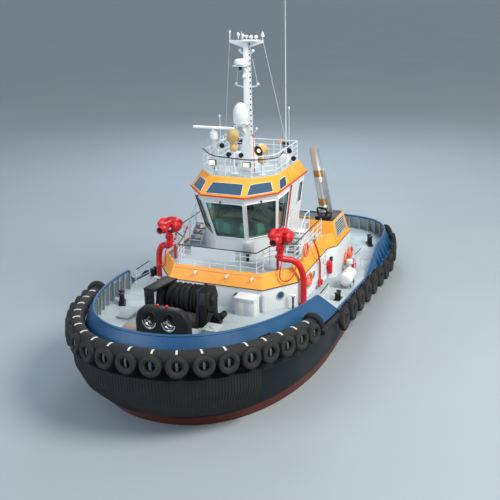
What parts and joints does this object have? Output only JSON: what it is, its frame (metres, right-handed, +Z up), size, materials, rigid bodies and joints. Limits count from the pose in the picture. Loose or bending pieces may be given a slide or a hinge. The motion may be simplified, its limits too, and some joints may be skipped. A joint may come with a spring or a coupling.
{
  "type": "tugboat",
  "caption": "Compact stern-drive harbour tug afloat, with fendered hull, wheelhouse, mast, towing winch, fire monitors and steerable thrusters.",
  "frame": {"origin": "amidships on the centreline, at the waterline", "axes": "+X to the bow, +Y to port, +Z up"},
  "size_m": [24.6075, 11.398, 22.2],
  "materials": {
    "hull_paint": "near black blue marine paint, satin",
    "blue_paint": "blue marine paint, satin",
    "fender_rubber": "worn black rubber",
    "white_paint": "white marine paint, satin",
    "yellow_paint": "yellow orange marine paint, satin",
    "window_glass": "green tinted laminated glass",
    "dark_plastic": "dark moulded plastic",
    "dome_plastic": "white gel coated glass fibre",
    "black_paint": "black deck machinery paint",
    "grey_paint": "light blue grey deck paint, matt",
    "exhaust_steel": "polished stainless steel, heat tinted",
    "red_paint": "signal red paint, gloss",
    "bronze": "cast propeller bronze"
  },
  "bodies": {
    "root": {"hull": "hull_paint", "bulwark_fore": "blue_paint", "bulwark_aft": "blue_paint", "bow_fender": "fender_rubber", "bow_fender_block": "fender_rubber", "side_fender_port": "fender_rubber", "side_fender_starboard": "fender_rubber", "stern_fender": "fender_rubber", "boat_deck": "yellow_paint", "deckhouse_front": "white_paint", "deckhouse_port": "white_paint", "deckhouse_starboard": "white_paint", "deckhouse_back": "white_paint", "wheelhouse_front": "white_paint", "wheelhouse_port": "white_paint", "wheelhouse_starboard": "white_paint", "wheelhouse_back": "white_paint", "wheelhouse_roof": "yellow_paint", "wheelhouse_glass": "window_glass", "console": "dark_plastic", "helm_chair": "dark_plastic", "mast": "white_paint", "satellite_dome": "dome_plastic", "radar_pedestal": "white_paint", "boat_deck_rail": "white_paint", "roof_rail": "white_paint", "tow_staple": "black_paint", "winch_frame": "black_paint", "winch_gear": "black_paint", "bitts_fore_port": "black_paint", "bitts_fore_starboard": "black_paint", "bitts_aft_port": "black_paint", "bitts_aft_starboard": "black_paint", "locker": "white_paint", "hatch_coaming": "grey_paint", "funnel_port": "yellow_paint", "exhaust_port": "exhaust_steel", "stairs_port": "white_paint", "liferaft_port": "dome_plastic", "fire_main_port": "red_paint", "funnel_starboard": "yellow_paint", "exhaust_starboard": "exhaust_steel", "stairs_starboard": "white_paint", "liferaft_starboard": "dome_plastic", "fire_main_starboard": "red_paint"},
    "radar_scanner": {"radar_scanner": "white_paint"},
    "winch_drum": {"winch_drum": "black_paint"},
    "hatch_lid": {"hatch_lid": "grey_paint"},
    "wheelhouse_door": {"wheelhouse_door": "white_paint"},
    "deckhouse_door_port": {"deckhouse_door_port": "white_paint"},
    "monitor_port": {"monitor_port": "red_paint"},
    "monitor_barrel_port": {"monitor_barrel_port": "red_paint"},
    "thruster_port": {"thruster_port": "black_paint"},
    "propeller_port": {"propeller_port": "bronze"},
    "deckhouse_door_starboard": {"deckhouse_door_starboard": "white_paint"},
    "monitor_starboard": {"monitor_starboard": "red_paint"},
    "monitor_barrel_starboard": {"monitor_barrel_starboard": "red_paint"},
    "thruster_starboard": {"thruster_starboard": "black_paint"},
    "propeller_starboard": {"propeller_starboard": "bronze"}
  },
  "joints": [
    {"name": "radar_spin", "type": "hinge", "parent": "root", "child": "radar_scanner", "pos_m": [1.2, -1.22, 9.78], "axis": [0, 0, 1], "continuous": true},
    {"name": "winch_spin", "type": "hinge", "parent": "root", "child": "winch_drum", "pos_m": [6.75, -0.33, 3.78], "axis": [0, 1, 0], "continuous": true},
    {"name": "hatch_lift", "type": "hinge", "parent": "root", "child": "hatch_lid", "pos_m": [7.484, 1.45, 3.08], "axis": [0, -1, 0], "range_deg": [0, 100]},
    {"name": "wheelhouse_door_swing", "type": "hinge", "parent": "root", "child": "wheelhouse_door", "pos_m": [-2.106, 0.134, 5.3], "axis": [0, 0, -1], "range_deg": [0, 110]},
    {"name": "deckhouse_door_port_swing", "type": "hinge", "parent": "root", "child": "deckhouse_door_port", "pos_m": [-0.806, 3.443, 2.7], "axis": [0, 0, -1], "range_deg": [0, 110]},
    {"name": "monitor_train_port", "type": "hinge", "parent": "root", "child": "monitor_port", "pos_m": [3.3, 2.74, 5.15], "axis": [0, 0, 1], "range_deg": [-170, 170]},
    {"name": "monitor_tilt_port", "type": "hinge", "parent": "monitor_port", "child": "monitor_barrel_port", "pos_m": [3.3, 2.74, 5.67], "axis": [0, -1, 0], "range_deg": [-15, 80]},
    {"name": "thruster_steer_port", "type": "hinge", "parent": "root", "child": "thruster_port", "pos_m": [-8.2, 1.95, -2.5], "axis": [0, 0, 1], "continuous": true},
    {"name": "propeller_spin_port", "type": "hinge", "parent": "thruster_port", "child": "propeller_port", "pos_m": [-8.6, 1.95, -3.85], "axis": [1, 0, 0], "continuous": true},
    {"name": "deckhouse_door_starboard_swing", "type": "hinge", "parent": "root", "child": "deckhouse_door_starboard", "pos_m": [-0.806, -3.443, 2.7], "axis": [0, 0, 1], "range_deg": [0, 110]},
    {"name": "monitor_train_starboard", "type": "hinge", "parent": "root", "child": "monitor_starboard", "pos_m": [3.3, -2.74, 5.15], "axis": [0, 0, 1], "range_deg": [-170, 170]},
    {"name": "monitor_tilt_starboard", "type": "hinge", "parent": "monitor_starboard", "child": "monitor_barrel_starboard", "pos_m": [3.3, -2.74, 5.67], "axis": [0, -1, 0], "range_deg": [-15, 80]},
    {"name": "thruster_steer_starboard", "type": "hinge", "parent": "root", "child": "thruster_starboard", "pos_m": [-8.2, -1.95, -2.5], "axis": [0, 0, 1], "continuous": true},
    {"name": "propeller_spin_starboard", "type": "hinge", "parent": "thruster_starboard", "child": "propeller_starboard", "pos_m": [-8.6, -1.95, -3.85], "axis": [1, 0, 0], "continuous": true}
  ]
}
